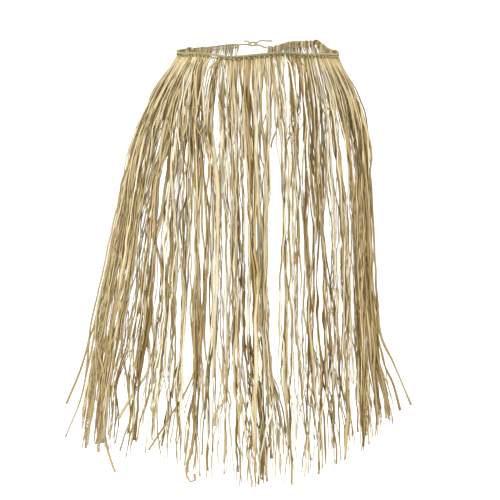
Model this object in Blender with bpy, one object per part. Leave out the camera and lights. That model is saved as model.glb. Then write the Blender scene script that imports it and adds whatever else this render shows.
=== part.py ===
"""A natural raffia grass skirt, as worn: one twisted waistband cord, tied behind with a small knot,
and locks of raffia strips that hang from it all round.

The origin is the middle of the waist ring. +Z is up, the skirt's front faces -Y, its knot is at +Y.
A bearing is an angle round the ring seen from above: 0 at the front, positive towards +X, 180 behind.
Nothing on the skirt moves on a joint: the raffia bends, and the knot can be untied.
"""

import math

import bmesh
import bpy
from mathutils import Vector

# ---------------------------------------------------------------- driving dimensions, in millimetres

BAND_DIAMETER = 8.0
BAND_STEPS = 76
BAND_END_LEFT = -165.3  # bearings of the band's two ends, either side of the gap behind
BAND_END_RIGHT = 172.2
TIE_DIAMETER = 4.0
TIE_STEP = 5.0
KNOT_SIZE = (17.0, 8.0, 11.0)
KNOT_FINENESS = 2  # how often the knot's lump is divided
LOCK_THICKNESS = 6.0  # the strips of a lock lie several deep
LOCK_GAP = 1.0  # between the middles of neighbouring locks' faces, at least
LOCK_WAIST_SHARE = 0.72  # a lock's width at the band against its greatest
LOCK_TOP_DROP = 0.5 * BAND_DIAMETER + 1.0
BAND_SWAY_DEPTH = 60.0  # below this depth a lock no longer follows the band's rise and dip
FACING_STEP = 1.0  # degrees between the two points that give a lock its facing
LOCK_ROWS = 11
SPLIT_ROW = 5  # the row where a lock parts into its fingers
SLIT_SHARE = 0.34  # how much of a finger's width is lost to the slits at the hem
TIP_SHARE = 0.45  # a finger's tip against its width above
FINGER_STAGGER = (0.0, -31.0, -12.0)  # how far the fingers' tips differ from the lock's drop

# The skirt's form: how far the fringe stands from the middle at each depth below the waist.
SECTION_COLUMNS = ("depth", "left", "right", "front", "back")
SECTIONS = (
    (0, 137, 137, 122, 122),
    (30, 158, 152, 138, 136),
    (80, 183, 169, 155, 150),
    (155, 209, 185, 172, 165),
    (240, 238, 196, 185, 177),
    (345, 258, 201, 195, 186),
    (430, 281, 210, 203, 194),
    (520, 300, 222, 212, 202),
    (605, 318, 238, 220, 210),
    (720, 336, 256, 229, 219),
)

# The waistband isn't level: it rises and dips between the strips that pull on it.
RISE_COLUMNS = ("bearing", "rise")
RISES = (
    (-180, 0.0),
    (-165, 0.5),
    (-157, 0.0),
    (-140, -2.7),
    (-107, -2.0),
    (-62, 0.8),
    (-44, 3.8),
    (-20, 0.0),
    (-9, 1.8),
    (0, 4.0),
    (16, 7.0),
    (23, 6.4),
    (35, 2.6),
    (49, 1.0),
    (62, -1.3),
    (75, -3.8),
    (96, -3.0),
    (115, -4.0),
    (128, 7.0),
    (157, 3.4),
    (163, -1.8),
    (171, -5.0),
    (180, 0.0),
)

# The locks of raffia. The first five columns are a lock's bearing at five depths, from the band to
# the hem; wide is its greatest width, drop its depth at the tips, fingers how many tips it has.
PATH_DEPTHS = (0, 150, 320, 480, 670)
LOCK_COLUMNS = ("ring", "hip", "thigh", "knee", "hem", "wide", "drop", "fingers")
LOCKS = {
    "fringe_front": (
        (-61.5, -57.0, -53.0, -51.0, -50.0, 18, 652, 3),
        (-55.0, -47.5, -42.5, -41.5, -40.5, 14, 660, 2),
        (-49.5, -40.5, -35.0, -33.5, -32.5, 14, 664, 2),
        (-44.8, -33.5, -28.5, -27.5, -26.0, 16, 668, 3),
        (-40.6, -27.8, -22.8, -20.6, -20.0, 17, 684, 3),
        (-30.0, -22.0, -16.8, -15.2, -14.6, 14, 676, 2),
        (-24.4, -15.8, -12.2, -10.6, -9.4, 16, 680, 3),
        (-17.0, -9.8, -7.4, -5.6, -3.6, 20, 695, 3),
        (-8.2, -4.6, -3.0, -1.6, -0.4, 14, 688, 2),
        (-1.4, -0.4, 0.6, 2.4, 3.6, 15, 692, 3),
        (4.4, 4.2, 4.4, 6.2, 8.6, 12, 690, 2),
        (12.2, 13.4, 12.8, 12.2, 12.8, 20, 694, 3),
        (23.6, 19.4, 18.4, 18.2, 17.4, 14, 690, 2),
        (30.4, 25.4, 24.4, 23.2, 21.2, 14, 686, 2),
        (36.6, 30.8, 29.6, 28.6, 26.0, 16, 680, 3),
        (42.8, 37.0, 35.2, 34.4, 31.4, 16, 672, 2),
        (49.6, 44.6, 42.4, 40.6, 36.8, 18, 664, 3),
        (57.2, 54.0, 50.6, 47.0, 42.6, 18, 656, 3),
        (64.6, 64.0, 59.8, 55.0, 50.0, 18, 650, 3),
    ),
    "fringe_right": (
        (72.6, 73.0, 69.6, 66.0, 62.0, 22, 654, 3),
        (81.6, 82.4, 80.4, 78.0, 76.0, 22, 640, 2),
        (91.0, 92.0, 91.4, 91.0, 92.0, 22, 650, 3),
        (100.8, 102.0, 102.6, 104.0, 107.0, 22, 644, 3),
        (112.0, 112.6, 113.6, 117.0, 120.0, 24, 660, 2),
        (123.0, 121.8, 123.0, 126.6, 130.0, 22, 668, 3),
    ),
    "fringe_back_right": (
        (133.6, 131.0, 131.8, 134.4, 137.0, 20, 672, 3),
        (141.6, 140.2, 140.6, 142.0, 144.0, 16, 684, 2),
        (149.4, 149.6, 149.6, 151.2, 152.6, 18, 676, 3),
        (156.8, 157.8, 158.4, 160.2, 161.2, 14, 690, 2),
        (163.2, 165.6, 166.0, 167.6, 168.6, 14, 672, 3),
        (169.8, 174.4, 175.4, 176.8, 177.6, 15, 698, 3),
    ),
    "fringe_back_left": (
        (-163.0, -168.6, -170.4, -171.4, -171.8, 16, 690, 3),
        (-156.2, -161.0, -163.2, -165.0, -165.8, 16, 696, 2),
        (-149.0, -152.4, -155.2, -157.8, -159.2, 18, 678, 3),
        (-141.0, -142.4, -146.0, -149.2, -151.0, 18, 660, 2),
        (-132.4, -132.2, -135.8, -139.6, -142.0, 20, 668, 3),
    ),
    "fringe_left": (
        (-122.4, -121.0, -124.0, -128.4, -131.6, 22, 674, 3),
        (-110.6, -110.6, -112.4, -115.0, -117.6, 22, 662, 2),
        (-99.4, -99.8, -100.4, -101.6, -103.0, 22, 676, 3),
        (-89.0, -89.0, -88.6, -88.0, -88.0, 22, 668, 3),
        (-79.2, -78.0, -76.4, -74.8, -74.0, 22, 680, 2),
        (-70.0, -67.4, -64.4, -62.4, -61.4, 22, 664, 3),
    ),
}

# The ties' routes, from the band's ends into the knot and out of it. Each point is x, y, z.
KNOT_CENTRE = (-8.2, 121.6, 2.2)
TIE_ROUTES = {
    "tie_left": ((-34.2, 118.2, 0.5), (-28.5, 119.2, 1.4), (-22.5, 120.3, 1.9), (-17.3, 121.2, 1.7)),
    "tie_right": ((18.1, 120.9, -4.9), (12.0, 121.5, -3.6), (6.0, 121.7, -1.4), (0.9, 121.7, 0.6)),
    "tie_left_end": ((-14.4, 122.2, 8.6), (-17.2, 123.4, 9.0), (-20.4, 124.8, 8.2), (-23.6, 126.0, 6.2)),
    "tie_right_end": (
        (-0.9, 122.4, 7.2),
        (4.0, 123.6, 8.4),
        (10.0, 124.8, 8.2),
        (17.5, 125.8, 7.3),
        (25.6, 126.6, 7.4),
    ),
}

# ---------------------------------------------------------------- colours, as Principled values

FINISHES = {
    "raffia_fringe": ((0.46, 0.36, 0.19), 0.62),
    "raffia_band": ((0.36, 0.28, 0.14), 0.68),
    "raffia_tie": ((0.44, 0.40, 0.24), 0.66),
}

MM = 0.001


def clear_objects():
    """Starts from an empty scene."""
    for ob in list(bpy.data.objects):
        bpy.data.objects.remove(ob, do_unlink=True)


def make_finish(name):
    """A Principled material of one of the skirt's three finishes."""
    colour, roughness = FINISHES[name]
    material = bpy.data.materials.new(name)
    material.use_nodes = True
    shader = material.node_tree.nodes["Principled BSDF"]
    shader.inputs["Base Color"].default_value = (*colour, 1.0)
    shader.inputs["Roughness"].default_value = roughness
    shader.inputs["Metallic"].default_value = 0.0
    return material


def smooth_value(at, stations, values):
    """The value at a place on the smooth curve through the values at the stations."""
    if at <= stations[0]:
        return values[0]
    if at >= stations[-1]:
        return values[-1]
    i = max(k for k in range(len(stations) - 1) if stations[k] <= at)
    span = stations[i + 1] - stations[i]
    t = (at - stations[i]) / span

    def slope(k):
        low, high = max(k - 1, 0), min(k + 1, len(stations) - 1)
        return (values[high] - values[low]) / (stations[high] - stations[low]) * span

    a, b = values[i], values[i + 1]
    rise_a, rise_b = slope(i), slope(i + 1)
    return (
        a * (2 * t**3 - 3 * t**2 + 1)
        + rise_a * (t**3 - 2 * t**2 + t)
        + b * (3 * t**2 - 2 * t**3)
        + rise_b * (t**3 - t**2)
    )


def column(table, columns, name):
    """One named column of a table."""
    place = columns.index(name)
    return [row[place] for row in table]


def form_point(bearing, depth):
    """The point of the skirt's form at a bearing and a depth."""
    depths = column(SECTIONS, SECTION_COLUMNS, "depth")
    angle = math.radians(bearing)
    across, along = math.sin(angle), -math.cos(angle)
    side = "right" if across > 0 else "left"
    face = "back" if along > 0 else "front"
    reach_x = smooth_value(depth, depths, column(SECTIONS, SECTION_COLUMNS, side))
    reach_y = smooth_value(depth, depths, column(SECTIONS, SECTION_COLUMNS, face))
    return Vector((reach_x * across, reach_y * along, -depth))


def rise_at(bearing):
    """How far the waistband stands above the waist plane at a bearing."""
    bearings = column(RISES, RISE_COLUMNS, "bearing")
    return smooth_value(bearing, bearings, column(RISES, RISE_COLUMNS, "rise"))


def band_point(bearing):
    """The waistband's centreline at a bearing."""
    return form_point(bearing, 0.0) + Vector((0.0, 0.0, rise_at(bearing)))


def add_object(name, data, finish):
    """Puts a mesh or a curve in the scene as one named sub-part."""
    ob = bpy.data.objects.new(name, data)
    ob.data.materials.append(finish)
    bpy.context.scene.collection.objects.link(ob)
    return ob


def add_tube(name, points, diameter, finish):
    """A round cord with closed ends along the points, which are in millimetres."""
    curve = bpy.data.curves.new(name, "CURVE")
    curve.dimensions = "3D"
    curve.bevel_depth = 0.5 * diameter * MM
    curve.bevel_resolution = 2
    curve.use_fill_caps = True
    spline = curve.splines.new("POLY")
    spline.points.add(len(points) - 1)
    for target, point in zip(spline.points, points):
        target.co = (*(point * MM), 1.0)
    return add_object(name, curve, finish)


def route_points(route, step):
    """Points at about one step apart on the smooth curve through a route's own points."""
    knots = [Vector(point) for point in route]
    lengths = [0.0]
    for start, end in zip(knots, knots[1:]):
        lengths.append(lengths[-1] + (end - start).length)
    count = max(3, round(lengths[-1] / step))
    axes = [[knot[axis] for knot in knots] for axis in range(3)]
    return [
        Vector([smooth_value(lengths[-1] * k / count, lengths, axis) for axis in axes])
        for k in range(count + 1)
    ]


def make_waistband(finish):
    """The twisted cord that the fringe hangs from, open at the back between its two ends."""
    turn = BAND_END_RIGHT - BAND_END_LEFT
    bearings = [BAND_END_LEFT + turn * k / BAND_STEPS for k in range(BAND_STEPS + 1)]
    add_tube("waistband", [band_point(bearing) for bearing in bearings], BAND_DIAMETER, finish)


def make_ties(finish):
    """The ties that run from the band's ends into the knot, and their free ends past it."""
    for name, route in TIE_ROUTES.items():
        add_tube(name, route_points(route, TIE_STEP), TIE_DIAMETER, finish)


def make_knot(finish):
    """The small knot, as the smooth lump that its turns fill."""
    mesh = bpy.data.meshes.new("tie_knot")
    form = bmesh.new()
    bmesh.ops.create_icosphere(form, subdivisions=KNOT_FINENESS, radius=0.5)
    for vert in form.verts:
        for axis in range(3):
            vert.co[axis] = (vert.co[axis] * KNOT_SIZE[axis] + KNOT_CENTRE[axis]) * MM
    form.to_mesh(mesh)
    form.free()
    mesh.shade_smooth()
    add_object("tie_knot", mesh, finish)


def ring_order():
    """Every lock as (name, row), in order of its bearing at the band."""
    named = []
    for zone, rows in LOCKS.items():
        for k, row in enumerate(rows, start=1):
            named.append((f"{zone}_{k:02d}", dict(zip(LOCK_COLUMNS, row))))
    return sorted(named, key=lambda item: item[1]["ring"])


def lock_bearing(lock, depth):
    """The bearing of a lock's middle at a depth."""
    path = [lock[place] for place in ("ring", "hip", "thigh", "knee", "hem")]
    return smooth_value(depth, PATH_DEPTHS, path)


def arc_between(bearing_a, bearing_b, depth):
    """The straight distance between two bearings at a depth, in millimetres."""
    return (form_point(bearing_a, depth) - form_point(bearing_b, depth)).length


def lock_width(lock, neighbours, depth):
    """A lock's width at a depth: its own, or what its neighbours leave it."""
    swell = math.sin(math.pi * min(1.0, depth / lock["drop"]))
    own = lock["wide"] * (LOCK_WAIST_SHARE + (1.0 - LOCK_WAIST_SHARE) * swell)
    here = lock_bearing(lock, depth)
    room = min(arc_between(here, lock_bearing(other, depth), depth) for other in neighbours)
    return min(own, room - LOCK_GAP)


def finger_edges(fingers, row, width):
    """The left and right edge of each finger on one row, from the lock's middle."""
    share = width / fingers
    past = max(0.0, (row - SPLIT_ROW) / (LOCK_ROWS - SPLIT_ROW))
    lost = 0.5 * share * (SLIT_SHARE * past)
    if row == LOCK_ROWS:
        lost = 0.5 * share * (1.0 - TIP_SHARE)
    edges = []
    for k in range(fingers):
        left = -0.5 * width + share * k
        edges.append((left + lost, left + share - lost))
    return edges


def lock_row_depth(lock, finger, row):
    """How deep a finger is at a row. All fingers share their rows down to the split."""
    split = lock["drop"] * SPLIT_ROW / LOCK_ROWS
    if row <= SPLIT_ROW:
        return lock["drop"] * row / LOCK_ROWS
    tip = lock["drop"] + FINGER_STAGGER[finger]
    return split + (tip - split) * (row - SPLIT_ROW) / (LOCK_ROWS - SPLIT_ROW)


def lock_corner(lock, neighbours, finger, row, side, outer):
    """One corner point of a finger: on a row, at its left or right edge, on its outer or inner face."""
    depth = lock_row_depth(lock, finger, row)
    width = lock_width(lock, neighbours, depth)
    offset = finger_edges(lock["fingers"], row, width)[finger][side]
    middle = lock_bearing(lock, depth)
    half_step = 0.5 * FACING_STEP
    along = form_point(middle + half_step, depth) - form_point(middle - half_step, depth)
    out = Vector((along.y, -along.x, 0.0)).normalized()
    follows_band = max(0.0, 1.0 - depth / BAND_SWAY_DEPTH)
    point = form_point(middle, depth) + along.normalized() * offset
    point += out * (0.5 * LOCK_THICKNESS * (1 if outer else -1))
    point.z += rise_at(middle + FACING_STEP * offset / along.length) * follows_band - LOCK_TOP_DROP
    return point * MM


def make_lock(name, lock, neighbours, finish):
    """One lock of raffia: a thin hanging strip that parts into fingers of uneven length."""
    form = bmesh.new()
    fingers = lock["fingers"]
    made = {}

    def corner(finger, row, side, outer):
        if row <= SPLIT_ROW and side == 1 and finger < fingers - 1:
            finger, side = finger + 1, 0
        key = (finger, row, side, outer)
        if key not in made:
            made[key] = form.verts.new(lock_corner(lock, neighbours, finger, row, side, outer))
        return made[key]

    def wall(finger, row, side):
        return [
            corner(finger, row, side, True),
            corner(finger, row, side, False),
            corner(finger, row + 1, side, False),
            corner(finger, row + 1, side, True),
        ]

    for finger in range(fingers):
        for row in range(LOCK_ROWS):
            for outer in (True, False):
                face = [
                    corner(finger, row, 0, outer),
                    corner(finger, row, 1, outer),
                    corner(finger, row + 1, 1, outer),
                    corner(finger, row + 1, 0, outer),
                ]
                form.faces.new(face)
            if row >= SPLIT_ROW or finger == 0:
                form.faces.new(wall(finger, row, 0))
            if row >= SPLIT_ROW or finger == fingers - 1:
                form.faces.new(wall(finger, row, 1))
        for row in (0, LOCK_ROWS):
            cap = [corner(finger, row, side, outer) for side, outer in ((0, 1), (1, 1), (1, 0), (0, 0))]
            form.faces.new(cap)
    bmesh.ops.recalc_face_normals(form, faces=form.faces)
    mesh = bpy.data.meshes.new(name)
    form.to_mesh(mesh)
    form.free()
    add_object(name, mesh, finish)


def make_fringe(finish):
    """All the locks, each no wider than the space between its two neighbours."""
    named = ring_order()
    for k, (name, lock) in enumerate(named):
        neighbours = (named[k - 1][1], named[(k + 1) % len(named)][1])
        make_lock(name, lock, neighbours, finish)


def main():
    """Builds the skirt."""
    clear_objects()
    make_waistband(make_finish("raffia_band"))
    tie_finish = make_finish("raffia_tie")
    make_ties(tie_finish)
    make_knot(tie_finish)
    make_fringe(make_finish("raffia_fringe"))


main()
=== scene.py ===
"""The looks of a natural raffia grass skirt: every strip of its fringe, its corded waistband with its
twining thread and wound joints, its two knotted ties, and a plain pale studio round it."""

import math

import bpy
import numpy as np
from bpy.props import FloatProperty, FloatVectorProperty, PointerProperty
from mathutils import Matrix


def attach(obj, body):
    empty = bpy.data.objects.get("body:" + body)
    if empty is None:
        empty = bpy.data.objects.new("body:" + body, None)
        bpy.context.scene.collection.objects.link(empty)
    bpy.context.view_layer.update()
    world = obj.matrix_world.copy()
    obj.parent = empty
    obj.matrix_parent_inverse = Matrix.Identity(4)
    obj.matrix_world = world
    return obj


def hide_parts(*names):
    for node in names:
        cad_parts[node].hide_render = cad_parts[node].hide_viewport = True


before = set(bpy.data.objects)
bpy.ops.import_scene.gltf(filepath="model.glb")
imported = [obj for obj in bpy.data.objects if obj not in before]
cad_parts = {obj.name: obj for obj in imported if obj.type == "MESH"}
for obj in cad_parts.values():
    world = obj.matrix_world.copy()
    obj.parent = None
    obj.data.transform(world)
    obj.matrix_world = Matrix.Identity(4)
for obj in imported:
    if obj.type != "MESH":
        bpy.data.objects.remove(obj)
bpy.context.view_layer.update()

bl_info = {
    "name": "Grass Skirt",
    "version": (1, 0, 0),
    "blender": (4, 5, 0),
    "location": "3D View > Sidebar > Grass Skirt",
    "description": "Builds a raffia grass skirt round its solids, strip by strip",
    "category": "Object",
}

MM = 0.001
UP = np.array([0.0, 0.0, 1.0])
FORWARD = np.array([0.0, -1.0, 0.0])
ACROSS = np.array([1.0, 0.0, 0.0])
BODY = "root"
BAND_SIDES = 8  # corners of the waistband solid's round section
FULL_TURN = 360.0
SIDEWAYS = 90.0  # the bearing that parts the front of the skirt from its back

# The camera: its place in metres, its view downwards and to the side in degrees, and its lens in mm.
CAMERA_PLACE = (0.0, -3.0, 0.256)
CAMERA_DOWN, CAMERA_SIDE = 11.357, 0.245
CAMERA_LENS = 126.1

# ---------------------------------------------------------------- the solids that the skirt follows


def solid_points(node):
    """The separate corner points of a solid, in metres."""
    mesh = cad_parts[node].data
    points = np.empty(len(mesh.vertices) * 3, np.float32)
    mesh.vertices.foreach_get("co", points)
    return np.unique(np.round(points.reshape(-1, 3).astype(float), 6), axis=0)


def bearing_of(points):
    """Degrees round the waist: 0 in front, positive towards +X, 180 behind."""
    return np.degrees(np.arctan2(points[..., 0], -points[..., 1]))


def band_line():
    """The waistband's middle line, from its left end behind, round the front, to its right end."""
    points = solid_points("waistband")
    order = np.argsort(bearing_of(points))
    return points[order].reshape(-1, BAND_SIDES, 3).mean(axis=1)


BAND = band_line()
BAND_BEARINGS = bearing_of(BAND)
FRINGE_NODES = sorted(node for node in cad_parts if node.startswith("fringe"))


def band_at(bearing):
    """The point on the waistband's middle line at a bearing."""
    return np.array([np.interp(bearing, BAND_BEARINGS, BAND[:, axis]) for axis in range(3)])


def outward_of(points):
    """The level direction away from the skirt's middle, at each point."""
    flat = points * np.array([1.0, 1.0, 0.0])
    return flat / np.linalg.norm(flat, axis=-1, keepdims=True)


def unit(vectors):
    """Vectors of length one."""
    return vectors / np.maximum(np.linalg.norm(vectors, axis=-1, keepdims=True), 1e-9)


def lengths_along(path):
    """How far along a path each of its points lies."""
    return np.concatenate([[0.0], np.cumsum(np.linalg.norm(np.diff(path, axis=0), axis=1))])


def ease(share):
    """A slow start and a slow stop between 0 and 1."""
    share = np.clip(share, 0.0, 1.0)
    return share * share * (3.0 - 2.0 * share)


class Lock:
    """The line and the width of one lock of strips, read from its solid."""

    FIT_DEGREE = 6
    REACH_ABOUT = 45 * MM
    STATIONS = 8

    def __init__(self, node):
        points = solid_points(node)
        self.node = node
        self.top = points[:, 2].max()
        self.tip = points[:, 2].min()
        heights = points[:, 2]
        self.fits = [
            np.polynomial.Polynomial.fit(heights, points[:, axis], self.FIT_DEGREE) for axis in (0, 1)
        ]
        middle = self.middle(heights)
        self.around = np.cross(UP, outward_of(middle))
        off = np.abs(((points - middle) * self.around).sum(axis=1))
        self.stations = np.linspace(self.tip, self.top, self.STATIONS)
        self.half_widths = [
            off[np.abs(heights - station) < self.REACH_ABOUT].max() for station in self.stations
        ]
        self.bearing = float(bearing_of(self.middle(np.array([self.top]))[0]))

    def middle(self, heights):
        """The lock's middle line at these heights."""
        within = np.clip(heights, self.tip, self.top)
        return np.stack([self.fits[0](within), self.fits[1](within), heights], axis=1)

    def half_width(self, heights):
        """Half the lock's width at these heights."""
        return np.interp(heights, self.stations, self.half_widths)


# ---------------------------------------------------------------- shader expressions


class Wire:
    """A value on its way through a material. Sums done with it add Math nodes."""

    def __init__(self, finish, socket):
        self.finish = finish
        self.socket = socket

    def math(self, operation, *values):
        """A Math node of this operation on the values."""
        return self.finish.add("ShaderNodeMath", {"operation": operation}, dict(enumerate(values)))

    def __add__(self, other):
        return self.math("ADD", self, other)

    def __radd__(self, other):
        return self.math("ADD", other, self)

    def __sub__(self, other):
        return self.math("SUBTRACT", self, other)

    def __rsub__(self, other):
        return self.math("SUBTRACT", other, self)

    def __mul__(self, other):
        return self.math("MULTIPLY", self, other)

    def __rmul__(self, other):
        return self.math("MULTIPLY", other, self)

    def __pow__(self, other):
        return self.math("POWER", self, other)


class Finish:
    """A material with one Principled shader, and the means to add nodes in front of it."""

    def __init__(self, name, **constants):
        self.material = bpy.data.materials.new(name)
        self.material.use_nodes = True
        self.tree = self.material.node_tree
        self.shader = self.tree.nodes["Principled BSDF"]
        for socket, value in constants.items():
            self.shader.inputs[socket.replace("_", " ")].default_value = value

    def feed(self, socket, value):
        """Links a wire to a socket, or sets the socket's own value."""
        if isinstance(value, Wire):
            self.tree.links.new(value.socket, socket)
        else:
            socket.default_value = value

    def add(self, kind, settings=None, sockets=None, output=0):
        """Adds a node: its settings first, then the values or links of its sockets."""
        node = self.tree.nodes.new(kind)
        for name, value in (settings or {}).items():
            if name == "stops":
                self.set_stops(node.color_ramp, value)
            else:
                setattr(node, name, value)
        for name, value in (sockets or {}).items():
            self.feed(node.inputs[name], value)
        return Wire(self, node.outputs[output])

    @staticmethod
    def set_stops(ramp, stops):
        """Gives a ramp its stops, each a place and a colour."""
        while len(ramp.elements) < len(stops):
            ramp.elements.new(1.0)
        for element, (place, colour) in zip(ramp.elements, stops):
            element.position = place
            element.color = (*colour, 1.0)

    def ramp(self, value, stops):
        """A colour that follows a value through the stops."""
        return self.add("ShaderNodeValToRGB", {"stops": stops}, {0: value})

    def mix(self, share, first, second):
        """One colour over another."""
        settings = {"data_type": "RGBA"}
        return self.add("ShaderNodeMix", settings, {0: share, 6: first, 7: second}, output=2)

    def noise(self, vector, scale, detail=2.0, roughness=0.5):
        """Smooth noise from 0 to 1."""
        sockets = {"Vector": vector, "Scale": scale, "Detail": detail, "Roughness": roughness}
        return self.add("ShaderNodeTexNoise", {}, sockets)

    def scaled(self, vector, scale):
        """A vector stretched by a scale for each axis."""
        settings = {"operation": "MULTIPLY"}
        return self.add("ShaderNodeVectorMath", settings, {0: vector, 1: scale})

    def own_number(self, name):
        """A number that the mesh carries at its points."""
        return self.add("ShaderNodeAttribute", {"attribute_name": name}, output=2)

    def bump(self, height, strength, distance):
        """Links a height to the shader's normal."""
        sockets = {"Height": height, "Strength": strength, "Distance": distance}
        self.feed(self.shader.inputs["Normal"], self.add("ShaderNodeBump", {}, sockets))


BASE_SHADE = -0.02


def raffia_finish(name, settings):
    """Dry raffia: long fibres along the strip, paler and browner strips, edges darkened partly by painted
    shade, a soft satin sheen.
    """
    finish = Finish(name, Specular_IOR_Level=0.14)
    strip = finish.add("ShaderNodeUVMap", {"uv_map": "strip"})
    tone = finish.own_number("tone")
    fibres = finish.noise(finish.scaled(strip, (34.0, 26.0, 1.0)), 1.0, detail=3.0, roughness=0.6)
    streaks = finish.noise(finish.scaled(strip, (5.0, 9.0, 1.0)), 1.0, detail=2.0)
    blots = finish.noise(finish.scaled(strip, (1.4, 62.0, 1.0)), 1.0, detail=3.0)
    # Darker towards each strip's edges: partly its rolled edges, partly painted shade between
    # neighbouring strips.
    rim = finish.own_number("edge") ** 3.0
    shade = tone * 0.62 + fibres * 0.26 + streaks * 0.30 + BASE_SHADE - rim * 0.40
    colour = finish.ramp(
        shade,
        (
            (0.06, tuple(settings.shadow)),
            (0.30, tuple(settings.brown)),
            (0.52, tuple(settings.tan)),
            (0.74, tuple(settings.straw)),
            (0.96, tuple(settings.cream)),
        ),
    )
    specks = finish.ramp(blots, ((0.60, (0.0, 0.0, 0.0)), (0.74, (1.0, 1.0, 1.0))))
    speckled = finish.mix(specks * 0.42, colour, (*settings.shadow, 1.0))
    finish.feed(finish.shader.inputs["Base Color"], speckled)
    finish.feed(finish.shader.inputs["Roughness"], fibres * 0.26 + 0.46)
    finish.bump(fibres * 0.7 + streaks * 0.5, 0.55, 0.25 * MM)
    return finish.material


def cord_finish(name, settings, shift):
    """Fine raffia thread twisted into cord: greener and duller than the strips, darker in its turns."""
    finish = Finish(name, Specular_IOR_Level=0.2)
    ply = finish.add("ShaderNodeUVMap", {"uv_map": "strip"})
    fibres = finish.noise(finish.scaled(ply, (9.0, 160.0, 1.0)), 1.0, detail=3.0, roughness=0.6)
    patches = finish.noise(finish.scaled(ply, (1.0, 24.0, 1.0)), 1.0, detail=2.0)
    shade = fibres * 0.6 + patches * 0.5 + finish.own_number("tone") + shift
    colour = finish.ramp(
        shade,
        (
            (0.25, tuple(settings.cord_dark)),
            (0.55, tuple(settings.cord)),
            (0.85, tuple(settings.cord_pale)),
        ),
    )
    finish.feed(finish.shader.inputs["Base Color"], colour)
    finish.feed(finish.shader.inputs["Roughness"], fibres * 0.2 + 0.58)
    finish.bump(fibres, 0.6, 0.2 * MM)
    return finish.material


# ---------------------------------------------------------------- strips and cords as meshes


def path_frames(path, out):
    """Along, around and away directions at each point of a path."""
    along = unit(np.gradient(path, axis=0))
    around = unit(np.cross(out, along))
    away = np.cross(along, around)
    return along, around, away


class Weave:
    """Collects the walls of many strips or plies, and makes them one mesh."""

    def __init__(self):
        self.points = []
        self.faces = []
        self.across = []
        self.along = []
        self.tones = []
        self.edges = []
        self.count = 0

    def sweep(self, rings, path, tones, shift=0.0):
        """Skins a row of closed rings, each with the same number of points."""
        steps, sides = rings.shape[:2]
        first = self.count
        self.points.append(rings.reshape(-1, 3))
        self.count += steps * sides
        index = first + np.arange(steps * sides).reshape(steps, sides)
        left, right = index, np.roll(index, -1, axis=1)
        walls = np.stack([left[:-1], right[:-1], right[1:], left[1:]], axis=-1)
        self.faces += walls.reshape(-1, 4).tolist()
        half = sides // 2
        for ring, flip in ((index[0], True), (index[-1], False)):
            for k in range(half - 1):
                cap = [ring[k], ring[k + 1], ring[sides - 2 - k], ring[sides - 1 - k]]
                self.faces.append([int(i) for i in (cap if flip else cap[::-1])])
        place = lengths_along(path)
        share = np.minimum(np.arange(sides), sides - 1 - np.arange(sides)) / (half - 1)
        self.across.append(np.tile(share + shift, steps))
        self.along.append(np.repeat(place + shift, sides))
        self.tones.append(np.repeat(tones, sides))
        self.edges.append(np.tile(np.abs(2.0 * share - 1.0), steps))

    def strip(self, path, out, widths, folds, turns, thickness, tones, shift):
        """A flat strip of raffia, folded lengthwise by folds and turned about its own line."""
        along, around, away = path_frames(path, out)
        cosine, sine = np.cos(turns)[:, None], np.sin(turns)[:, None]
        side = around * cosine + away * sine
        face = away * cosine - around * sine
        places = np.linspace(-0.5, 0.5, 4)
        angle = places[None, :] * folds[:, None]
        radius = (widths / folds)[:, None]
        over = radius * np.sin(angle)
        lift = radius * (1.0 - np.cos(angle)) - (radius * (1.0 - np.cos(0.5 * folds[:, None]))) * 0.5
        half = 0.5 * thickness
        shells = []
        for sign, order in ((1.0, slice(None)), (-1.0, slice(None, None, -1))):
            normal_side, normal_face = np.sin(angle) * -sign, np.cos(angle) * sign
            x = over + normal_side * -half
            y = -lift + normal_face * half
            wall = path[:, None] + x[..., None] * side[:, None] + y[..., None] * face[:, None]
            shells.append(wall[:, order])
        self.sweep(np.concatenate(shells, axis=1), path, tones, shift)

    def ply(self, path, out, radius, sides, tone, shift):
        """A round ply along a path."""
        along, around, away = path_frames(path, out)
        angles = 2.0 * np.pi * np.arange(sides) / sides
        ring = around[:, None] * np.cos(angles)[:, None] + away[:, None] * np.sin(angles)[:, None]
        radii = np.broadcast_to(radius, len(path))[:, None, None]
        self.sweep(path[:, None] + ring * radii, path, np.zeros(len(path)) + tone, shift)

    def finish(self, name, materials, slot, *nodes):
        """Makes the piece, which rides with the skirt and stands for the solids it is named."""
        mesh = bpy.data.meshes.new(name)
        mesh.from_pydata(np.concatenate(self.points), [], self.faces)
        corners = np.empty(len(mesh.loops), np.int32)
        mesh.loops.foreach_get("vertex_index", corners)
        chart = mesh.uv_layers.new(name="strip")
        spots = np.stack([np.concatenate(self.across), np.concatenate(self.along)], axis=1)
        chart.data.foreach_set("uv", spots[corners].astype(np.float32).ravel())
        for name_of, values in (("tone", self.tones), ("edge", self.edges)):
            number = mesh.attributes.new(name_of, "FLOAT", "POINT")
            number.data.foreach_set("value", np.concatenate(values).astype(np.float32))
        mesh.shade_smooth()
        piece = bpy.data.objects.new(name, mesh)
        bpy.context.scene.collection.objects.link(piece)
        for material in materials:
            mesh.materials.append(material)
        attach(piece, BODY)
        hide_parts(*nodes)
        return piece


def smooth_noise(rng, places, wavelength, reach):
    """A wavering line: smooth random values at places along a strip, in metres."""
    knots = np.arange(places.min() - 2 * wavelength, places.max() + 2 * wavelength, wavelength)
    knots = knots + rng.uniform(0.0, wavelength)
    values = rng.normal(0.0, reach, len(knots))
    spot = np.interp(places, knots, np.arange(len(knots)))
    low = np.clip(np.floor(spot).astype(int), 0, len(knots) - 2)
    part = ease(spot - low)
    return values[low] * (1.0 - part) + values[low + 1] * part


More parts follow.
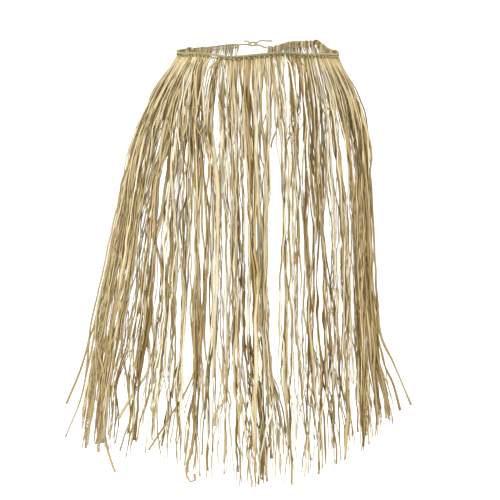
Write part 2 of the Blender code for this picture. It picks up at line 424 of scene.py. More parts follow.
def resample(points, step):
    """Points one step apart on a smooth curve through the given ones."""
    points = np.asarray(points, float)
    place = lengths_along(points)
    slope = np.gradient(points, place, axis=0)
    fine = np.linspace(0.0, place[-1], max(4, round(place[-1] / step) + 1))
    k = np.clip(np.searchsorted(place, fine, side="right") - 1, 0, len(points) - 2)
    span = (place[k + 1] - place[k])[:, None]
    t = ((fine - place[k])[:, None]) / span
    return (
        points[k] * (2 * t**3 - 3 * t**2 + 1)
        + slope[k] * span * (t**3 - 2 * t**2 + t)
        + points[k + 1] * (3 * t**2 - 2 * t**3)
        + slope[k + 1] * span * (t**3 - t**2)
    )


# ---------------------------------------------------------------- the fringe

LOCKS = sorted((Lock(node) for node in FRINGE_NODES), key=lambda lock: lock.bearing)

# Stretches of the band that carry no strips, as bearings.
BARE = ((-38.2, -32.0), (172.6, 194.8))

# How many strips a lock has, by its bearing.
COUNTS = (
    (-180, 5),
    (-149, 5),
    (-141, 6),
    (-125, 9),
    (-105, 12),
    (-90, 13),
    (-78, 19),
    (-68, 25),
    (-55, 24),
    (-50, 21),
    (-38, 17),
    (-30, 14),
    (-12, 14),
    (0, 12),
    (12, 12),
    (28, 12),
    (42, 11),
    (57, 12),
    (70, 19),
    (80, 17),
    (92, 13),
    (110, 14),
    (122, 12),
    (134, 9),
    (180, 8),
)

# How far a lock's strips spread against its solid's width, by its bearing.
SPREADS = (
    (-180, 0.65),
    (-140, 0.65),
    (-120, 1.2),
    (-80, 1.7),
    (-55, 1.8),
    (-47, 1.2),
    (-35, 0.85),
    (-5, 0.8),
    (25, 0.7),
    (45, 0.8),
    (60, 1.3),
    (90, 1.4),
    (120, 1.1),
    (135, 0.6),
    (180, 0.6),
)

# The share of strips folded over the band's cord rather than held behind it, by bearing.
OVERS = ((-180, 0.15), (-100, 0.0), (80, 0.0), (95, 0.2), (105, 0.7), (165, 0.7), (180, 0.3))

# The usual tone of a lock's strips, from 0 for brown to 1 for cream, by its bearing: darker on the right
# side as painted shade, and much paler behind as painted light against the shade inside the ring.
CASTS_AND_PAINTED_LIGHT = (
    (-180, 0.84),
    (-135, 0.80),
    (-110, 0.46),
    (-80, 0.42),
    (-45, 0.45),
    (40, 0.42),
    (65, 0.38),
    (95, 0.37),
    (110, 0.58),
    (125, 0.86),
    (180, 0.86),
)

# How far the strips of a lock differ from their usual tone, by its bearing.
VARIETIES = (
    (-180, 0.24),
    (-110, 0.15),
    (-80, 0.09),
    (-50, 0.20),
    (-20, 0.24),
    (50, 0.24),
    (75, 0.08),
    (95, 0.10),
    (115, 0.28),
    (180, 0.26),
)

# The share of a lock's strips that are broken off at the hip, by its bearing.
SHORTS = (
    (-180, 0.20),
    (-130, 0.20),
    (-115, 0.00),
    (-62, 0.00),
    (-53, 0.35),
    (-47, 0.45),
    (-30, 0.40),
    (-22, 0.00),
    (6, 0.00),
    (14, 0.20),
    (30, 0.25),
    (38, 0.00),
    (100, 0.00),
    (112, 0.30),
    (180, 0.40),
)

# Partings that show straight through the skirt from in front. Each: half its width, then the places
# it passes, across and down from the waist in front, as they line up from in front, in millimetres.
PARTINGS = (
    (5.0, ((31, 125), (31, 265))),
    (7.5, ((32, 220), (31, 283), (25, 334), (24, 370), (26, 403), (29, 471), (31, 540), (31, 610))),
    (4.5, ((13, 16), (13, 70), (6, 111), (4, 150))),
    (5.0, ((46, -5), (46, 40), (41, 75))),
    (3.4, ((-20, 165), (-20, 230), (-18, 300), (-19, 480), (-19, 570))),
    (3.5, ((-9, 350), (-9, 440), (-10, 460), (-10, 545))),
    (4.5, ((3, 480), (4, 600))),
    (7.0, ((-73, 75), (-72, 195))),
    (6.0, ((-93, 225), (-93, 445))),
    (6.5, ((-158, 170), (-165, 215), (-168, 290), (-172, 320))),
    (4.0, ((-180, 290), (-187, 400))),
    (4.0, ((-152, 285), (-152, 375))),
    (6.0, ((-138, 350), (-133, 435), (-136, 480), (-137, 520), (-133, 575))),
    (6.5, ((-116, 470), (-118, 560), (-118, 620))),
    (8.0, ((-236, 520), (-235, 590), (-217, 620), (-212, 680))),
    (5.5, ((90, 240), (91, 370))),
    (5.5, ((119, 235), (119, 300), (123, 345), (125, 410))),
    (5.0, ((108, 310), (108, 450), (113, 500), (117, 555))),
    (5.0, ((141, 105), (145, 160), (150, 200), (150, 255))),
    (3.5, ((44, 320), (44, 505))),
    (7.5, ((-164, 560), (-164, 680))),
    (4.5, ((-184, 560), (-188, 660))),
    (6.5, ((-60, 590), (-55, 670))),
    (4.0, ((0, 570), (0, 670))),
    (6.5, ((17, 595), (17, 670))),
)

PARTING_OPENS, PARTING_CLOSES = 36 * MM, 75 * MM  # the fall over which a parting opens and closes
PARTING_CREEP = 1.5  # how far beyond a parting the strips still give way, in its half widths
PARTING_PUSH = 2.5  # the farthest that a strip is sent back out of a parting, in its half widths

# Thick bunches that the strips beside them draw in to. Each: its reach, then the places it passes,
# measured like a parting's.
BUNCHES = (
    (50.0, ((-193, 150), (-218, 334), (-248, 470), (-266, 591), (-272, 690))),
    (42.0, ((172, 120), (177, 300), (180, 480), (181, 560), (185, 690))),
    (20.0, ((-85, 430), (-88, 560), (-98, 670))),
    (13.0, ((-133, 500), (-134, 600), (-132, 680))),
    (14.0, ((52, 480), (54, 600), (57, 690))),
)
BUNCH_DRAW, BUNCH_TIGHTENS = 0.45, 0.3  # the share of its way that a strip is drawn in, then more
BUNCH_STARTS, BUNCH_GATHERS = 150 * MM, 450 * MM  # the fall over which each of those comes in
EASED = 3  # points to each side over which a strip's move aside is evened out
SIGHT = 3.0  # from the viewer to the skirt's middle, in metres
SIGHT_TOP = 0.334  # how far the waist in front lies over the middle of the view, in metres

# How a strip leaves the band, from the back of the cord, over it and down: out and up, in millimetres.
OVER = ((-2.2, -8.0), (-2.7, -3.0), (-2.4, 1.2), (-0.4, 3.0), (2.0, 1.9), (2.8, -1.6), (1.7, -6.4))
BEHIND = ((-1.6, 0.8), (-2.2, -2.6), (-0.6, -6.4))
HEAD_DROP = 3.0 * MM  # from the head's last point to the first of the hanging strip
RUFFLE_FROM = 95.0  # the bearing past which the heads stand up as a ruffle
RUFFLE, NO_RUFFLE = 1.3, 1.1  # how far a head may be swollen there, and elsewhere
HEAD_FOLD, HEAD_FOLD_REACH = 3.0, 70 * MM  # how tightly a strip is rolled at the band, and how far down
SEEN_WITHIN = 0.04  # strips this far back are seen from inside the ring, in metres
HEAD_IN_FRONT, HEAD_WITHIN = 0.95, 1.45  # a strip's width at the cord, beside its own width
NECK = 0.85  # and just below the cord
PAINTED_CORD_SHADOW, PAINTED_CORD_SHADOW_REACH = 0.40, 26 * MM  # painted shadow under the cord: how much darker a strip in front is there, and how far down

# A strip's body. Its folds are in radians: a little curved, half rolled and rolled.
STEPS = 62  # points along a strip below the band
FOLDS, FOLD_SHARES = (1.1, 2.2, 4.2), (0.45, 0.35, 0.20)
LOOSE_FOLD = 0.5
LEAST_FOLD, MOST_FOLD = 0.15, 5.4
THICKNESS = 0.55 * MM
WIDTH_VARIETY, WIDTH_LIMITS = 0.34, (1.4 * MM, 6.5 * MM)
NARROWEST = 1.1 * MM  # anywhere along a strip
HALF_TURN_LENGTH = 0.05  # the length over which a strip turns its other face, in metres
TAPERING, TIP_WIDTH, TIP_LENGTHS = 0.6, 0.4, (0.02, 0.07)  # the share that taper, and how

# Where strips end and how they stray, in metres.
TORN_SHARE, TORN_LENGTHS = 0.16, (0.03, 0.12)  # the share torn short, and by how much
BROKEN_ENDS = (-0.155, -0.115)  # the heights between which a strip broken off at the hip ends
STRAY_SHARE, STRAY, USUAL_STRAY = 0.09, 20.0 * MM, 5.0 * MM  # along the whole strip
END_STRAY = 12.0 * MM  # at its end only
LAYER_DEPTH = 3.6 * MM  # how far a lock's outer strips hang in front of its middle
WAVES = ((0.15, 3.2 * MM), (0.055, 1.7 * MM), (0.023, 1.1 * MM))  # wavelength and reach
LOOSE_LENGTH = 0.7  # about a loose strip's whole length
LOOSE_ROW = 55.0  # between the points where a loose strip still follows its lock, in millimetres

# Loose strips that leave their lock. Each: lock, width in millimetres, tone, the depth at which it
# leaves, and the places it then passes: across, depth and outwards, in millimetres.
LOOSE = (
    (
        "fringe_left_04", 2.8, 0.25, 120,
        ((-206, 168, 2), (-227, 226, 4), (-239, 290, 0), (-268, 420, -2), (-296, 560, 0)),
    ),
    ("fringe_left_03", 3.8, 0.25, 430, ((-304, 545, 2), (-322, 596, 2), (-339, 640, 4))),
    ("fringe_left_04", 3.2, 0.35, 470, ((-297, 563, 0), (-316, 630, 2), (-338, 686, 2))),
    ("fringe_left_03", 3.5, 0.15, 480, ((-288, 552, 0), (-298, 606, 0), (-305, 650, 0))),
    ("fringe_left_05", 3.0, 0.45, 460, ((-277, 563, 0), (-287, 630, 0), (-291, 670, 0))),
    ("fringe_left_05", 4.2, 0.35, 470, ((-259, 560, 0), (-259, 634, 0), (-250, 676, 0), (-240, 703, 0))),
    ("fringe_front_02", 4.6, 0.5, 430, ((-176, 517, 4), (-204, 563, 6), (-228, 606, 6))),
    ("fringe_front_05", 3.2, 0.25, 430, ((-106, 520, 4), (-140, 588, 5), (-177, 650, 5))),
    (
        "fringe_front_01", 3.5, 0.1, 200,
        ((-174, 263, 4), (-156, 330, 4), (-139, 394, 3), (-136, 480, 0), (-140, 560, 0)),
    ),
    (
        "fringe_front_05", 4.2, 0.2, 560,
        ((-110, 648, 2), (-116, 670, 3), (-114, 689, 4), (-106, 697, 5), (-99, 691, 6), (-101, 681, 6)),
    ),
    ("fringe_front_07", 3.8, 0.35, 430, ((-52, 520, 2), (-55, 560, 3), (-67, 577, 4), (-69, 600, 3))),
    ("fringe_front_05", 3.0, 0.05, 100, ((-89, 156, 3), (-87, 300, 4), (-84, 450, 3), (-86, 590, 0))),
    ("fringe_front_06", 6.0, 0.62, 120, ((-66, 180, 4), (-64, 225, 4), (-66, 330, 1), (-72, 520, 0))),
    ("fringe_front_10", 6.5, 0.6, 300, ((-6, 430, 4), (-5, 500, 5), (-8, 570, 5), (-4, 640, 2))),
    ("fringe_right_01", 3.8, 0.25, 430, ((203, 517, 0), (212, 560, 2), (224, 610, 2))),
    ("fringe_right_02", 3.8, 0.15, 430, ((214, 517, 0), (233, 570, 2), (246, 622, 2))),
    ("fringe_right_02", 3.8, 0.35, 420, ((216, 500, 2), (243, 560, 2), (263, 612, 4))),
    ("fringe_right_01", 3.6, 0.45, 430, ((198, 517, 0), (200, 560, 0), (204, 613, 0))),
    (
        "fringe_front_06", 2.8, 0.05, 30,
        ((-78, 60, 0), (-74, 110, 2), (-80, 170, 2), (-82, 300, 0), (-90, 470, 0), (-100, 600, 0)),
    ),
)


def by_bearing(table, bearing):
    """The value of a table of bearings and values at a bearing."""
    return float(np.interp(bearing, *zip(*table)))


def sector(lock):
    """The bearings between which a lock's strips are hitched to the band."""
    bearings = [other.bearing for other in LOCKS]
    here = LOCKS.index(lock)
    before = bearings[here - 1] - (FULL_TURN if here == 0 else 0.0)
    after = bearings[(here + 1) % len(LOCKS)] + (FULL_TURN if here + 1 == len(LOCKS) else 0.0)
    low = 0.5 * (lock.bearing + before)
    high = 0.5 * (lock.bearing + after)
    for start, stop in BARE:
        for turn in (-FULL_TURN, 0.0):
            if start + turn < high and low < stop + turn:
                if lock.bearing < start + turn + 0.5 * (stop - start):
                    high = start + turn
                else:
                    low = stop + turn
    return low, high


def strip_head(bearing, rng):
    """A strip's first points, where it is hitched over the band's cord or held behind it."""
    root = band_at(bearing)
    out = outward_of(root)
    rows = OVER if rng.random() < by_bearing(OVERS, bearing) else BEHIND
    swell = rng.uniform(0.9, RUFFLE if bearing > RUFFLE_FROM else NO_RUFFLE)
    return [root + (out * x * swell + UP * z * (swell if z > 0 else 1.0)) * MM for x, z in rows]


def join_head(head, hang, reach):
    """Leads a hanging line into a head over the first part of its fall."""
    fallen = np.linspace(0.0, 1.0, len(hang))
    settle = ease(1.0 - fallen / reach)[:, None]
    return np.concatenate([np.array(head[:-1]), hang + (head[-1] - hang[0]) * settle])


def waver(rng, places, strength):
    """A strip's own wandering: long waves, short waves and small kinks, in metres."""
    return strength * sum(smooth_noise(rng, places, wavelength, reach) for wavelength, reach in WAVES)


def sighted(points):
    """Where points line up from in front: across, and down from the waist in front, in metres."""
    seen = points - np.array(CAMERA_PLACE)
    slope = math.radians(CAMERA_DOWN)
    ahead = seen[:, 1] * math.cos(slope) - seen[:, 2] * math.sin(slope)
    upwards = seen[:, 1] * math.sin(slope) + seen[:, 2] * math.cos(slope)
    scale = SIGHT / ahead
    return seen[:, 0] * scale, SIGHT_TOP - upwards * scale


def parted(path):
    """A strip's path, drawn in to the bunches and moved aside where the fringe parts."""
    across, down = sighted(path)
    moved = np.zeros(len(path))
    for reach, places in BUNCHES:
        line, depths = np.array(places).T * MM
        off = across - np.interp(down, depths, line)
        fallen = down - depths[0]
        draw = (BUNCH_DRAW + BUNCH_TIGHTENS * ease(fallen / BUNCH_GATHERS)) * ease(fallen / BUNCH_STARTS)
        moved = moved - off * draw * np.exp(-((off / (reach * MM)) ** 2))
    for half, places in PARTINGS:
        line, depths = np.array(places).T * MM
        share = ease((down - depths[0]) / PARTING_OPENS) * ease((depths[-1] - down) / PARTING_CLOSES)
        off = across + moved - np.interp(down, depths, line)
        side = 1.0 if (off * share).sum() > 0.0 else -1.0
        near = side * off / (half * MM)
        push = np.exp(-((np.maximum(near, 0.0) / PARTING_CREEP) ** 2)) + np.clip(-near, 0.0, PARTING_PUSH)
        moved = moved + side * share * push * half * MM
    window = 2 * EASED + 1
    moved = np.convolve(np.pad(moved, EASED, mode="edge"), np.full(window, 1.0 / window), "valid")
    return path + moved[:, None] * ACROSS


def strip_path(lock, place, layer, rng, settings):
    """One strip's path: from its place on the band, then down its lock with wanderings of its own.

    Places across a lock run from -1 at its left edge to 1 at its right one.
    """
    low, high = sector(lock)
    root_place = 2.0 * place - 1.0
    tip_place = np.clip(0.5 * root_place + rng.normal(0.0, 0.5), -1.3, 1.3)
    head = strip_head(low + (high - low) * place, rng)
    start = head[-1][2] - HEAD_DROP
    short = abs(rng.normal(0.0, settings.unevenness))
    if rng.random() < TORN_SHARE:
        short += rng.uniform(*TORN_LENGTHS)
    end = lock.tip + short - 0.2 * settings.unevenness
    if rng.random() < by_bearing(SHORTS, lock.bearing):
        end = rng.uniform(*BROKEN_ENDS)
    heights = np.linspace(start, end, STEPS)
    fallen = (start - heights) / (start - end)
    middle = lock.middle(heights)
    away = outward_of(middle)
    around = np.cross(UP, away)
    spread = ease(fallen * 2.2)
    reach = by_bearing(SPREADS, lock.bearing)
    roam = min(1.1, 1.25 * reach)
    wave = settings.waviness * ease(fallen * 9.0) * roam
    tip_place = tip_place * reach
    side = lock.half_width(heights) * (root_place * (1.0 - spread) + tip_place * spread)
    drift = roam * rng.normal(0.0, STRAY if rng.random() < STRAY_SHARE else USUAL_STRAY)
    side = side + drift * ease(fallen * 1.2 - 0.1) + rng.normal(0.0, END_STRAY) * ease(fallen * 3.6 - 2.6)
    side = side + waver(rng, heights, wave)
    depth = LAYER_DEPTH * layer * ease(fallen * 5.0) + waver(rng, heights, 0.8 * wave)
    hang = parted(middle + around * side[:, None] + away * depth[:, None])
    return join_head(head, hang, rng.uniform(0.05, 0.13))


def face_point(across, depth, behind):
    """The point of the fringe's near or far face at a place across it and a depth, in metres."""
    locks = [lock for lock in LOCKS if (abs(lock.bearing) > SIDEWAYS) == behind]
    middles = np.concatenate([lock.middle(np.array([-depth])) for lock in locks])
    order = np.argsort(middles[:, 0])
    return np.array([across, np.interp(across, middles[order, 0], middles[order, 1]), -depth])


def loose_path(lock, leaves, places, rng, settings):
    """A loose strip's path: down its lock to where it leaves, then past its places."""
    head = strip_head(np.random.default_rng(round(leaves)).uniform(*sector(lock)), rng)
    start = head[-1][2] - HEAD_DROP
    rows = max(3, round(leaves / LOOSE_ROW))
    follow = lock.middle(np.linspace(start, -leaves * MM, rows))
    behind = abs(lock.bearing) > SIDEWAYS
    points = [face_point(across * MM, down * MM, behind) for across, down, _ in places]
    outs = np.array([out for _, _, out in places])[:, None] * MM
    points = np.array(points) + outward_of(np.array(points)) * outs
    line = resample(np.concatenate([follow, points]), LOOSE_LENGTH / STEPS)
    fallen = np.linspace(0.0, 1.0, len(line))
    away = outward_of(line)
    around = np.cross(UP, away)
    along = np.linspace(0.0, LOOSE_LENGTH, len(line))
    wave = settings.waviness * ease(fallen * 5.0) * ease((1.0 - fallen) * 6.0)
    line = line + around * waver(rng, along, 0.7 * wave)[:, None]
    line = line + away * (waver(rng, along, 0.6 * wave) + 2.0 * MM * ease(fallen * 5.0))[:, None]
    return join_head(head, line, 0.1)


def strip_width(rng, settings):
    """A width for one strip."""
    return float(np.clip(rng.lognormal(math.log(settings.strip_width), WIDTH_VARIETY), *WIDTH_LIMITS))


def lay_strip(weave, path, out, width, tone, lively, rng):
    """Gives a path its strip of raffia: rolled and turned by chance if lively is 1, plain if it is 0.

    Returns the strip's mean width and its length.
    """
    place = lengths_along(path)
    within = path[0][1] > SEEN_WITHIN
    head = HEAD_WITHIN if within else HEAD_IN_FRONT
    gathered = head + (NECK - head) * ease((place - 8 * MM) / (12 * MM))
    gathered = gathered + (1.0 - NECK) * ease((place - 24 * MM) / (60 * MM))
    widths = width * gathered * (1.0 + smooth_noise(rng, place, 0.07, 0.16))
    fold = rng.choice(FOLDS, p=FOLD_SHARES) if lively else LOOSE_FOLD
    folds = np.clip(fold + smooth_noise(rng, place, 0.09, 0.7 * lively), LEAST_FOLD, MOST_FOLD)
    folds = np.maximum(folds, HEAD_FOLD * ease(1.4 - place / HEAD_FOLD_REACH))
    turns = (rng.normal(0.0, 0.5) + smooth_noise(rng, place, 0.12, 0.6) * ease(place / 0.05)) * lively
    for centre in rng.uniform(0.08, place[-1], rng.integers(0, 4) * lively):
        turned = ease((place - centre) / HALF_TURN_LENGTH + 0.5)
        turns = turns + math.pi * rng.choice((-1.0, 1.0)) * turned
    if lively and rng.random() < TAPERING:
        taper = ease((place[-1] - place) / rng.uniform(*TIP_LENGTHS))
        widths = widths * (TIP_WIDTH + (1.0 - TIP_WIDTH) * taper)
    tones = tone + smooth_noise(rng, place, 0.10, 0.09) - 0.1 * ease(place / place[-1])
    # Painted shadow under the cord: strips in front darken towards their heads.
    cord_shadow = PAINTED_CORD_SHADOW * rng.uniform(0.2, 1.0) * (0.0 if within else 1.0)
    tones = tones - cord_shadow * ease(1.0 - place / PAINTED_CORD_SHADOW_REACH)
    seen_widths = np.maximum(widths, NARROWEST)
    weave.strip(path, out, seen_widths, folds, turns, THICKNESS, tones, rng.uniform(0, 50))
    return float(widths.mean()), float(place[-1])


def make_lock(lock, seed, settings, finish):
    """All the strips of one lock, as one hanging sheet of its fringe."""
    rng = np.random.default_rng(seed)
    weave = Weave()
    count = round(by_bearing(COUNTS, lock.bearing) * settings.fullness)
    # A lock's usual tone, with painted shade on the right side and painted light behind.
    cast = rng.normal(by_bearing(CASTS_AND_PAINTED_LIGHT, lock.bearing), 0.05)
    variety = by_bearing(VARIETIES, lock.bearing)
    for k in range(count):
        layer = rng.uniform(0.0, 1.0) * (1.0 if k % 2 else -1.0)
        # Strips that hang deeper in the lock are darker and those in front paler: painted shade for their
        # depth.
        tone = float(np.clip(rng.normal(cast, variety) + 0.9 * variety * layer, 0.0, 1.1))
        path = strip_path(lock, (k + rng.uniform(0.15, 0.85)) / count, layer, rng, settings)
        lay_strip(weave, path, outward_of(path), strip_width(rng, settings), tone, 1, rng)
    for node, width, tone, leaves, places in LOOSE:
        if node == lock.node:
            path = loose_path(lock, leaves, places, rng, settings)
            out = np.tile(FORWARD, (len(path), 1))
            lay_strip(weave, path, out, width * MM, tone, 0, rng)
    piece = weave.finish(f"{lock.node}_strips", [finish], "raffia_fringe", lock.node)


# ---------------------------------------------------------------- the waistband and its ties

PLY_REACH, PLY_RADIUS = 0.24, 0.275  # a ply's place and size, as shares of its cord's diameter
PLY_SIDES, THREAD_SIDES = 8, 6
PLY_SHIFT = 7.0  # sets each ply's fibres apart from the other's


def twist(path, out, reach, pitch, phase):
    """A line that winds round a path."""
    along, around, away = path_frames(path, out)
    place = lengths_along(path)
    angle = 2.0 * np.pi * place / pitch + phase
    return path + reach * (around * np.cos(angle)[:, None] + away * np.sin(angle)[:, None])


def lay_cord(weave, path, out, diameter, pitch):
    """Two plies twisted into a cord."""
    for ply in range(2):
        line = twist(path, out, PLY_REACH * diameter, pitch, math.pi * ply)
        weave.ply(line, out, PLY_RADIUS * diameter, PLY_SIDES, 0.0, PLY_SHIFT * ply)


# The core cord and the twining thread: heights over the band's middle line and sizes, in millimetres.
CORE_UP, CORE_DIAMETER, CORE_PITCH = 0.8, 3.8, 11.0
TWINE_UP, TWINE_REACH, TWINE_RADIUS, TWINE_PITCH = -4.1, 1.3, 0.72, 13.0
TWINE_HITCHES = 8.5  # from one hitch to the next
TWINE_SHADE = 0.40  # painted shade and light: how much darker the thread is between the hitches, where it dips into shadow, and paler on them
BAND_STEP, TIE_STEP = 0.9, 0.8  # between a cord's points
CORE_TONE, THREAD_TONE_AND_SHADE, TIE_TONE = -0.06, -0.26, 0.08  # how much paler than usual each cord is; the twining thread's darkness is partly its own duller colour, partly painted shade under the cord


def band_route(up):
    """The waistband's line, raised by so many millimetres."""
    return resample(BAND + UP * up * MM, BAND_STEP * MM)


# Thread wound round the band. Each: bearing, length in degrees, radius in millimetres, turns, tone.
WHIPPINGS = (
    (-119.0, 3.4, 3.1, 7, 0.72),
    (-115.9, 1.3, 3.3, 3, -0.25),
    (127.0, 2.4, 4.3, 4, 0.1),
    (128.6, 1.2, 4.7, 3, -0.3),
)
WHIPPING_THREAD = 0.55  # the thread's radius in millimetres
WHIPPING_POINTS = 14  # points on each turn of it

# The knot's middle, and each tie's points from the band's end to the knot and from the knot to its
# free end: x, y, z in millimetres.
KNOT = (-8.2, 121.6, 2.2)
TIE_DIAMETER, TIE_PITCH = 3.4, 8.0
TIE_ENDS = {
    "tie_left": {
        "before": ((-34.2, 118.2, 0.5), (-28.5, 119.2, 1.4), (-22.5, 120.4, 1.4)),
        "after": ((-19.6, 123.4, 7.6), (-24.0, 125.6, 6.4)),
        "side": -1.0,
    },
    "tie_right": {
        "before": ((18.1, 120.9, -4.9), (12.0, 121.5, -3.6), (6.0, 121.7, -0.8)),
        "after": ((5.0, 123.8, 7.8), (10.0, 124.8, 8.2), (17.5, 125.8, 7.3), (25.6, 126.6, 7.4)),
        "side": 1.0,
    },
}
# Half a reef knot, in tie diameters from its middle: away from the middle, up, and outwards.
BIGHT = (
    (1.80, -0.50, 0.58),
    (0.0, -0.80, -0.60),
    (-1.20, -0.78, 0.34),
    (-1.80, 0.0, 0.66),
    (-1.20, 0.78, 0.34),
    (0.0, 0.80, -0.60),
    (1.80, 0.56, 0.58),
)


def tie_path(name):
    """A tie's whole line, in metres: to the knot, round its bight, and out to its free end."""
    tie = TIE_ENDS[name]
    side = tie["side"]
    middle = np.array(KNOT)
    turns = [
        middle + TIE_DIAMETER * np.array([side * away, -side * out, up]) for away, up, out in BIGHT
    ]
    return resample(np.array([*tie["before"], *turns, *tie["after"]]) * MM, TIE_STEP * MM)


def make_tie(name, finish, *nodes):
    """One tie of twisted thread, with its half of the knot and its free end."""
    path = tie_path(name)
    out = outward_of(path) + UP * 0.35
    weave = Weave()
    lay_cord(weave, path, out, TIE_DIAMETER * MM, TIE_PITCH * MM)
    piece = weave.finish(name + "_cord", [finish], "raffia_tie", *nodes)


# ---------------------------------------------------------------- settings and operators


class RaffiaSettings(bpy.types.PropertyGroup):
    """Sizes and colours of the raffia."""

    fullness: FloatProperty(
        name="Fullness", description="Strips against the usual number", default=1.0,
    )
    strip_width: FloatProperty(
        name="Width", description="A strip's usual width", default=2.95 * MM, unit="LENGTH",
    )
    unevenness: FloatProperty(
        name="Uneven ends", description="How unequal the ends are", default=0.032, unit="LENGTH",
    )
    waviness: FloatProperty(name="Waviness", description="How far the strips waver", default=1.0)
    shadow: FloatVectorProperty(
        name="Shadow", description="Darkest raffia", subtype="COLOR", default=(0.14, 0.084, 0.019),
    )
    brown: FloatVectorProperty(
        name="Brown", description="Brown raffia", subtype="COLOR", default=(0.318, 0.22, 0.083),
    )
    tan: FloatVectorProperty(
        name="Tan", description="Usual raffia", subtype="COLOR", default=(0.465, 0.39, 0.23),
    )
    straw: FloatVectorProperty(
        name="Straw", description="Pale raffia", subtype="COLOR", default=(0.62, 0.57, 0.445),
    )
    cream: FloatVectorProperty(
        name="Cream", description="Palest raffia", subtype="COLOR", default=(0.81, 0.785, 0.70),
    )
    cord: FloatVectorProperty(
        name="Cord", description="Twisted cord", subtype="COLOR", default=(0.31, 0.27, 0.13),
    )
    cord_dark: FloatVectorProperty(
        name="Cord, dark", description="Cord in its turns", subtype="COLOR",
        default=(0.12, 0.10, 0.04),
    )
    cord_pale: FloatVectorProperty(
        name="Cord, pale", description="Cord's worn fibres", subtype="COLOR",
        default=(0.50, 0.45, 0.27),
    )


class StudioSettings(bpy.types.PropertyGroup):
    """The studio round the skirt."""

    floor_drop: FloatProperty(
        name="Waist height", description="From the floor to the waist", default=1.0, unit="LENGTH",
    )
    key_power: FloatProperty(
        name="Key light", description="Power of the key light", default=124.0, unit="POWER",
    )
    fill_power: FloatProperty(
        name="Fill light", description="Power of the fill light", default=86.0, unit="POWER",
    )
    sky: FloatProperty(name="Sky", description="Strength of the light from above", default=0.54)
    glow: FloatProperty(
        name="Backdrop glow", description="How far the backdrop lights itself", default=0.27,
    )


class SKIRT_OT_fringe(bpy.types.Operator):
    """Hangs the strips of every lock"""

    bl_idname = "skirt.fringe"
    bl_label = "Fringe"

    def execute(self, context):
        settings = context.scene.skirt_raffia
        finish = raffia_finish("raffia strips", settings)
        for seed, lock in enumerate(LOCKS):
            make_lock(lock, 100 + seed, settings, finish)
        return {"FINISHED"}


class SKIRT_OT_waistband(bpy.types.Operator):
    """Lays the core cord and the twining thread that hold the strips"""

    bl_idname = "skirt.waistband"
    bl_label = "Waistband"

    def execute(self, context):
        raffia = context.scene.skirt_raffia
        finish = cord_finish("raffia cord", raffia, CORE_TONE)
        core = band_route(CORE_UP)
        weave = Weave()
        lay_cord(weave, core, outward_of(core), CORE_DIAMETER * MM, CORE_PITCH * MM)
        weave.finish("waistband_core_cord", [finish], "raffia_band", "waistband")
        twine = band_route(TWINE_UP)
        # Painted shade between the hitches and painted light on them, along the thread.
        tones = TWINE_SHADE * np.sin(2.0 * np.pi * lengths_along(twine) / (TWINE_HITCHES * MM))
        weave = Weave()
        for ply in range(2):
            line = twist(twine, outward_of(twine), TWINE_REACH * MM, TWINE_PITCH * MM, math.pi * ply)
            weave.ply(line, outward_of(line), TWINE_RADIUS * MM, THREAD_SIDES, tones, PLY_SHIFT * ply)
        # The thread is darker than the cord: partly its own colour, partly painted shade under the cord.
        thread = cord_finish("raffia thread", raffia, THREAD_TONE_AND_SHADE)
        weave.finish("waistband_twining", [thread], "raffia_band")
        return {"FINISHED"}


class SKIRT_OT_whippings(bpy.types.Operator):
    """Winds thread round the band where a length of it was joined on"""

    bl_idname = "skirt.whippings"
    bl_label = "Whippings"

    def execute(self, context):
        weave = Weave()
        for bearing, length, radius, turns, tone in WHIPPINGS:
            fine = np.linspace(-0.5, 0.5, WHIPPING_POINTS * turns)
            middle = np.array([band_at(bearing + part * length) for part in fine]) + UP * CORE_UP * MM
            out = outward_of(middle)
            along, around, away = path_frames(middle, out)
            angle = (2.0 * np.pi * turns * fine)[:, None]
            line = middle + radius * MM * (around * np.cos(angle) + away * np.sin(angle))
            weave.ply(line, out + UP * 0.2, WHIPPING_THREAD * MM, THREAD_SIDES, tone, bearing % PLY_SHIFT)
        finish = raffia_finish("raffia whipping", context.scene.skirt_raffia)
        weave.finish("waistband_whippings", [finish], "raffia_band")
        return {"FINISHED"}


class SKIRT_OT_ties(bpy.types.Operator):
    """Knots the two ties behind"""

    bl_idname = "skirt.ties"
    bl_label = "Ties"

    def execute(self, context):
        finish = cord_finish("raffia tie", context.scene.skirt_raffia, TIE_TONE)
        make_tie("tie_left", finish, "tie_left", "tie_left_end")
        make_tie("tie_right", finish, "tie_right", "tie_right_end", "tie_knot")
        return {"FINISHED"}


def studio_finish(glow):
    """Plain pale paint for the floor and its sweep."""
    finish = Finish("studio white", Roughness=0.9, Specular_IOR_Level=0.1, Emission_Strength=glow)
    place = finish.add("ShaderNodeTexCoord", output=3)
    cloud = finish.noise(place, 0.7)
    shade = finish.ramp(cloud, ((0.3, (0.93, 0.93, 0.93)), (0.7, (0.96, 0.96, 0.96))))
    finish.feed(finish.shader.inputs["Base Color"], shade)
    return finish.material


def add_light(name, place, power):
    """A soft square light that looks at the skirt."""
    data = bpy.data.lights.new(name, "AREA")
    data.size = LIGHT_SIZE
    data.energy = power
    lamp = bpy.data.objects.new(name, data)
    lamp.location = place
    aim = unit(np.array(LIT_POINT) - np.array(place))
    lamp.rotation_euler = (math.acos(-aim[2]), 0.0, math.atan2(-aim[0], aim[1]))
    bpy.context.scene.collection.objects.link(lamp)


# The round room that the skirt stands in, in metres.
ROOM_RADIUS, ROOM_HEIGHT, ROOM_SWEEP = 6.0, 5.0, 1.6
ROOM_SIDES, SWEEP_SEGMENTS = 96, 12

# The soft lights: where they stand, their side, and the point that both look at, in metres.
KEY_PLACE, FILL_PLACE = (-2.8, -1.4, 1.3), (2.9, -0.8, 0.9)
LIGHT_SIZE = 1.8
LIT_POINT = (0.0, 0.0, -0.35)


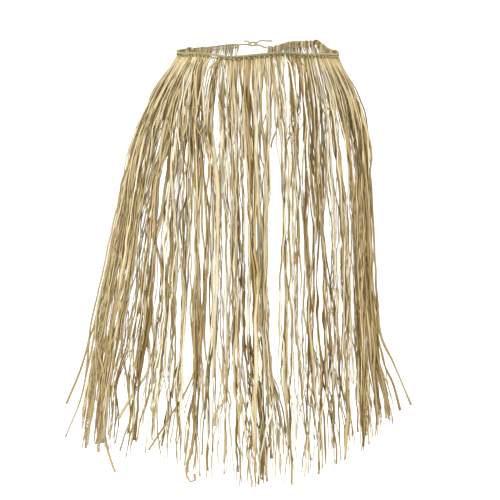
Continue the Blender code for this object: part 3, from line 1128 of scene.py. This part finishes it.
class SKIRT_OT_studio(bpy.types.Operator):
    """Sets the pale floor, its sweep, the soft lights and the camera"""

    bl_idname = "skirt.studio"
    bl_label = "Studio"

    def execute(self, context):
        studio = context.scene.skirt_studio
        bpy.ops.object.select_all(action="DESELECT")
        bpy.ops.mesh.primitive_circle_add(
            vertices=ROOM_SIDES,
            radius=ROOM_RADIUS,
            fill_type="NGON",
            location=(0.0, 0.0, -studio.floor_drop),
        )
        floor = context.object
        floor.name = "studio_floor"
        bpy.ops.object.mode_set(mode="EDIT")
        bpy.ops.mesh.select_mode(type="EDGE")
        bpy.ops.mesh.select_all(action="SELECT")
        bpy.ops.mesh.extrude_edges_move(TRANSFORM_OT_translate={"value": (0.0, 0.0, ROOM_HEIGHT)})
        bpy.ops.object.mode_set(mode="OBJECT")
        bevel = floor.modifiers.new("sweep", "BEVEL")
        bevel.width = ROOM_SWEEP
        bevel.segments = SWEEP_SEGMENTS
        bpy.ops.object.modifier_apply(modifier=bevel.name)
        floor.data.materials.append(studio_finish(studio.glow))
        floor.data.shade_smooth()
        add_light("key", KEY_PLACE, studio.key_power)
        add_light("fill", FILL_PLACE, studio.fill_power)
        world = bpy.data.worlds.new("studio light")
        world.use_nodes = True
        background = world.node_tree.nodes["Background"]
        background.inputs["Color"].default_value = (1.0, 1.0, 1.0, 1.0)
        background.inputs["Strength"].default_value = studio.sky
        context.scene.world = world
        context.scene.view_settings.view_transform = "Standard"
        lens = bpy.data.cameras.new("camera")
        lens.lens = CAMERA_LENS
        camera = bpy.data.objects.new("camera", lens)
        camera.location = CAMERA_PLACE
        camera.rotation_euler = (math.radians(90.0 - CAMERA_DOWN), 0.0, math.radians(CAMERA_SIDE))
        context.scene.collection.objects.link(camera)
        context.scene.camera = camera
        return {"FINISHED"}


OPERATORS = (SKIRT_OT_studio, SKIRT_OT_ties, SKIRT_OT_waistband, SKIRT_OT_whippings, SKIRT_OT_fringe)


class SKIRT_PT_panel(bpy.types.Panel):
    """Lists the skirt's settings and operators"""

    bl_idname = "SKIRT_PT_panel"
    bl_label = "Grass Skirt"
    bl_space_type = "VIEW_3D"
    bl_region_type = "UI"
    bl_category = "Grass Skirt"

    def draw(self, context):
        for group in (context.scene.skirt_raffia, context.scene.skirt_studio):
            for name in group.__annotations__:
                self.layout.prop(group, name)
        for operator in OPERATORS:
            self.layout.operator(operator.bl_idname)


CLASSES = (RaffiaSettings, StudioSettings, *OPERATORS, SKIRT_PT_panel)


def register():
    """Registers the settings, the operators and the panel."""
    for each in CLASSES:
        bpy.utils.register_class(each)
    bpy.types.Scene.skirt_raffia = PointerProperty(type=RaffiaSettings)
    bpy.types.Scene.skirt_studio = PointerProperty(type=StudioSettings)


def unregister():
    """Takes them away again."""
    del bpy.types.Scene.skirt_studio
    del bpy.types.Scene.skirt_raffia
    for each in reversed(CLASSES):
        bpy.utils.unregister_class(each)


def main():
    """Builds the studio and the skirt."""
    register()
    bpy.ops.skirt.studio()
    bpy.ops.skirt.ties()
    bpy.ops.skirt.waistband()
    bpy.ops.skirt.whippings()
    bpy.ops.skirt.fringe()


if __name__ == "__main__":
    main()
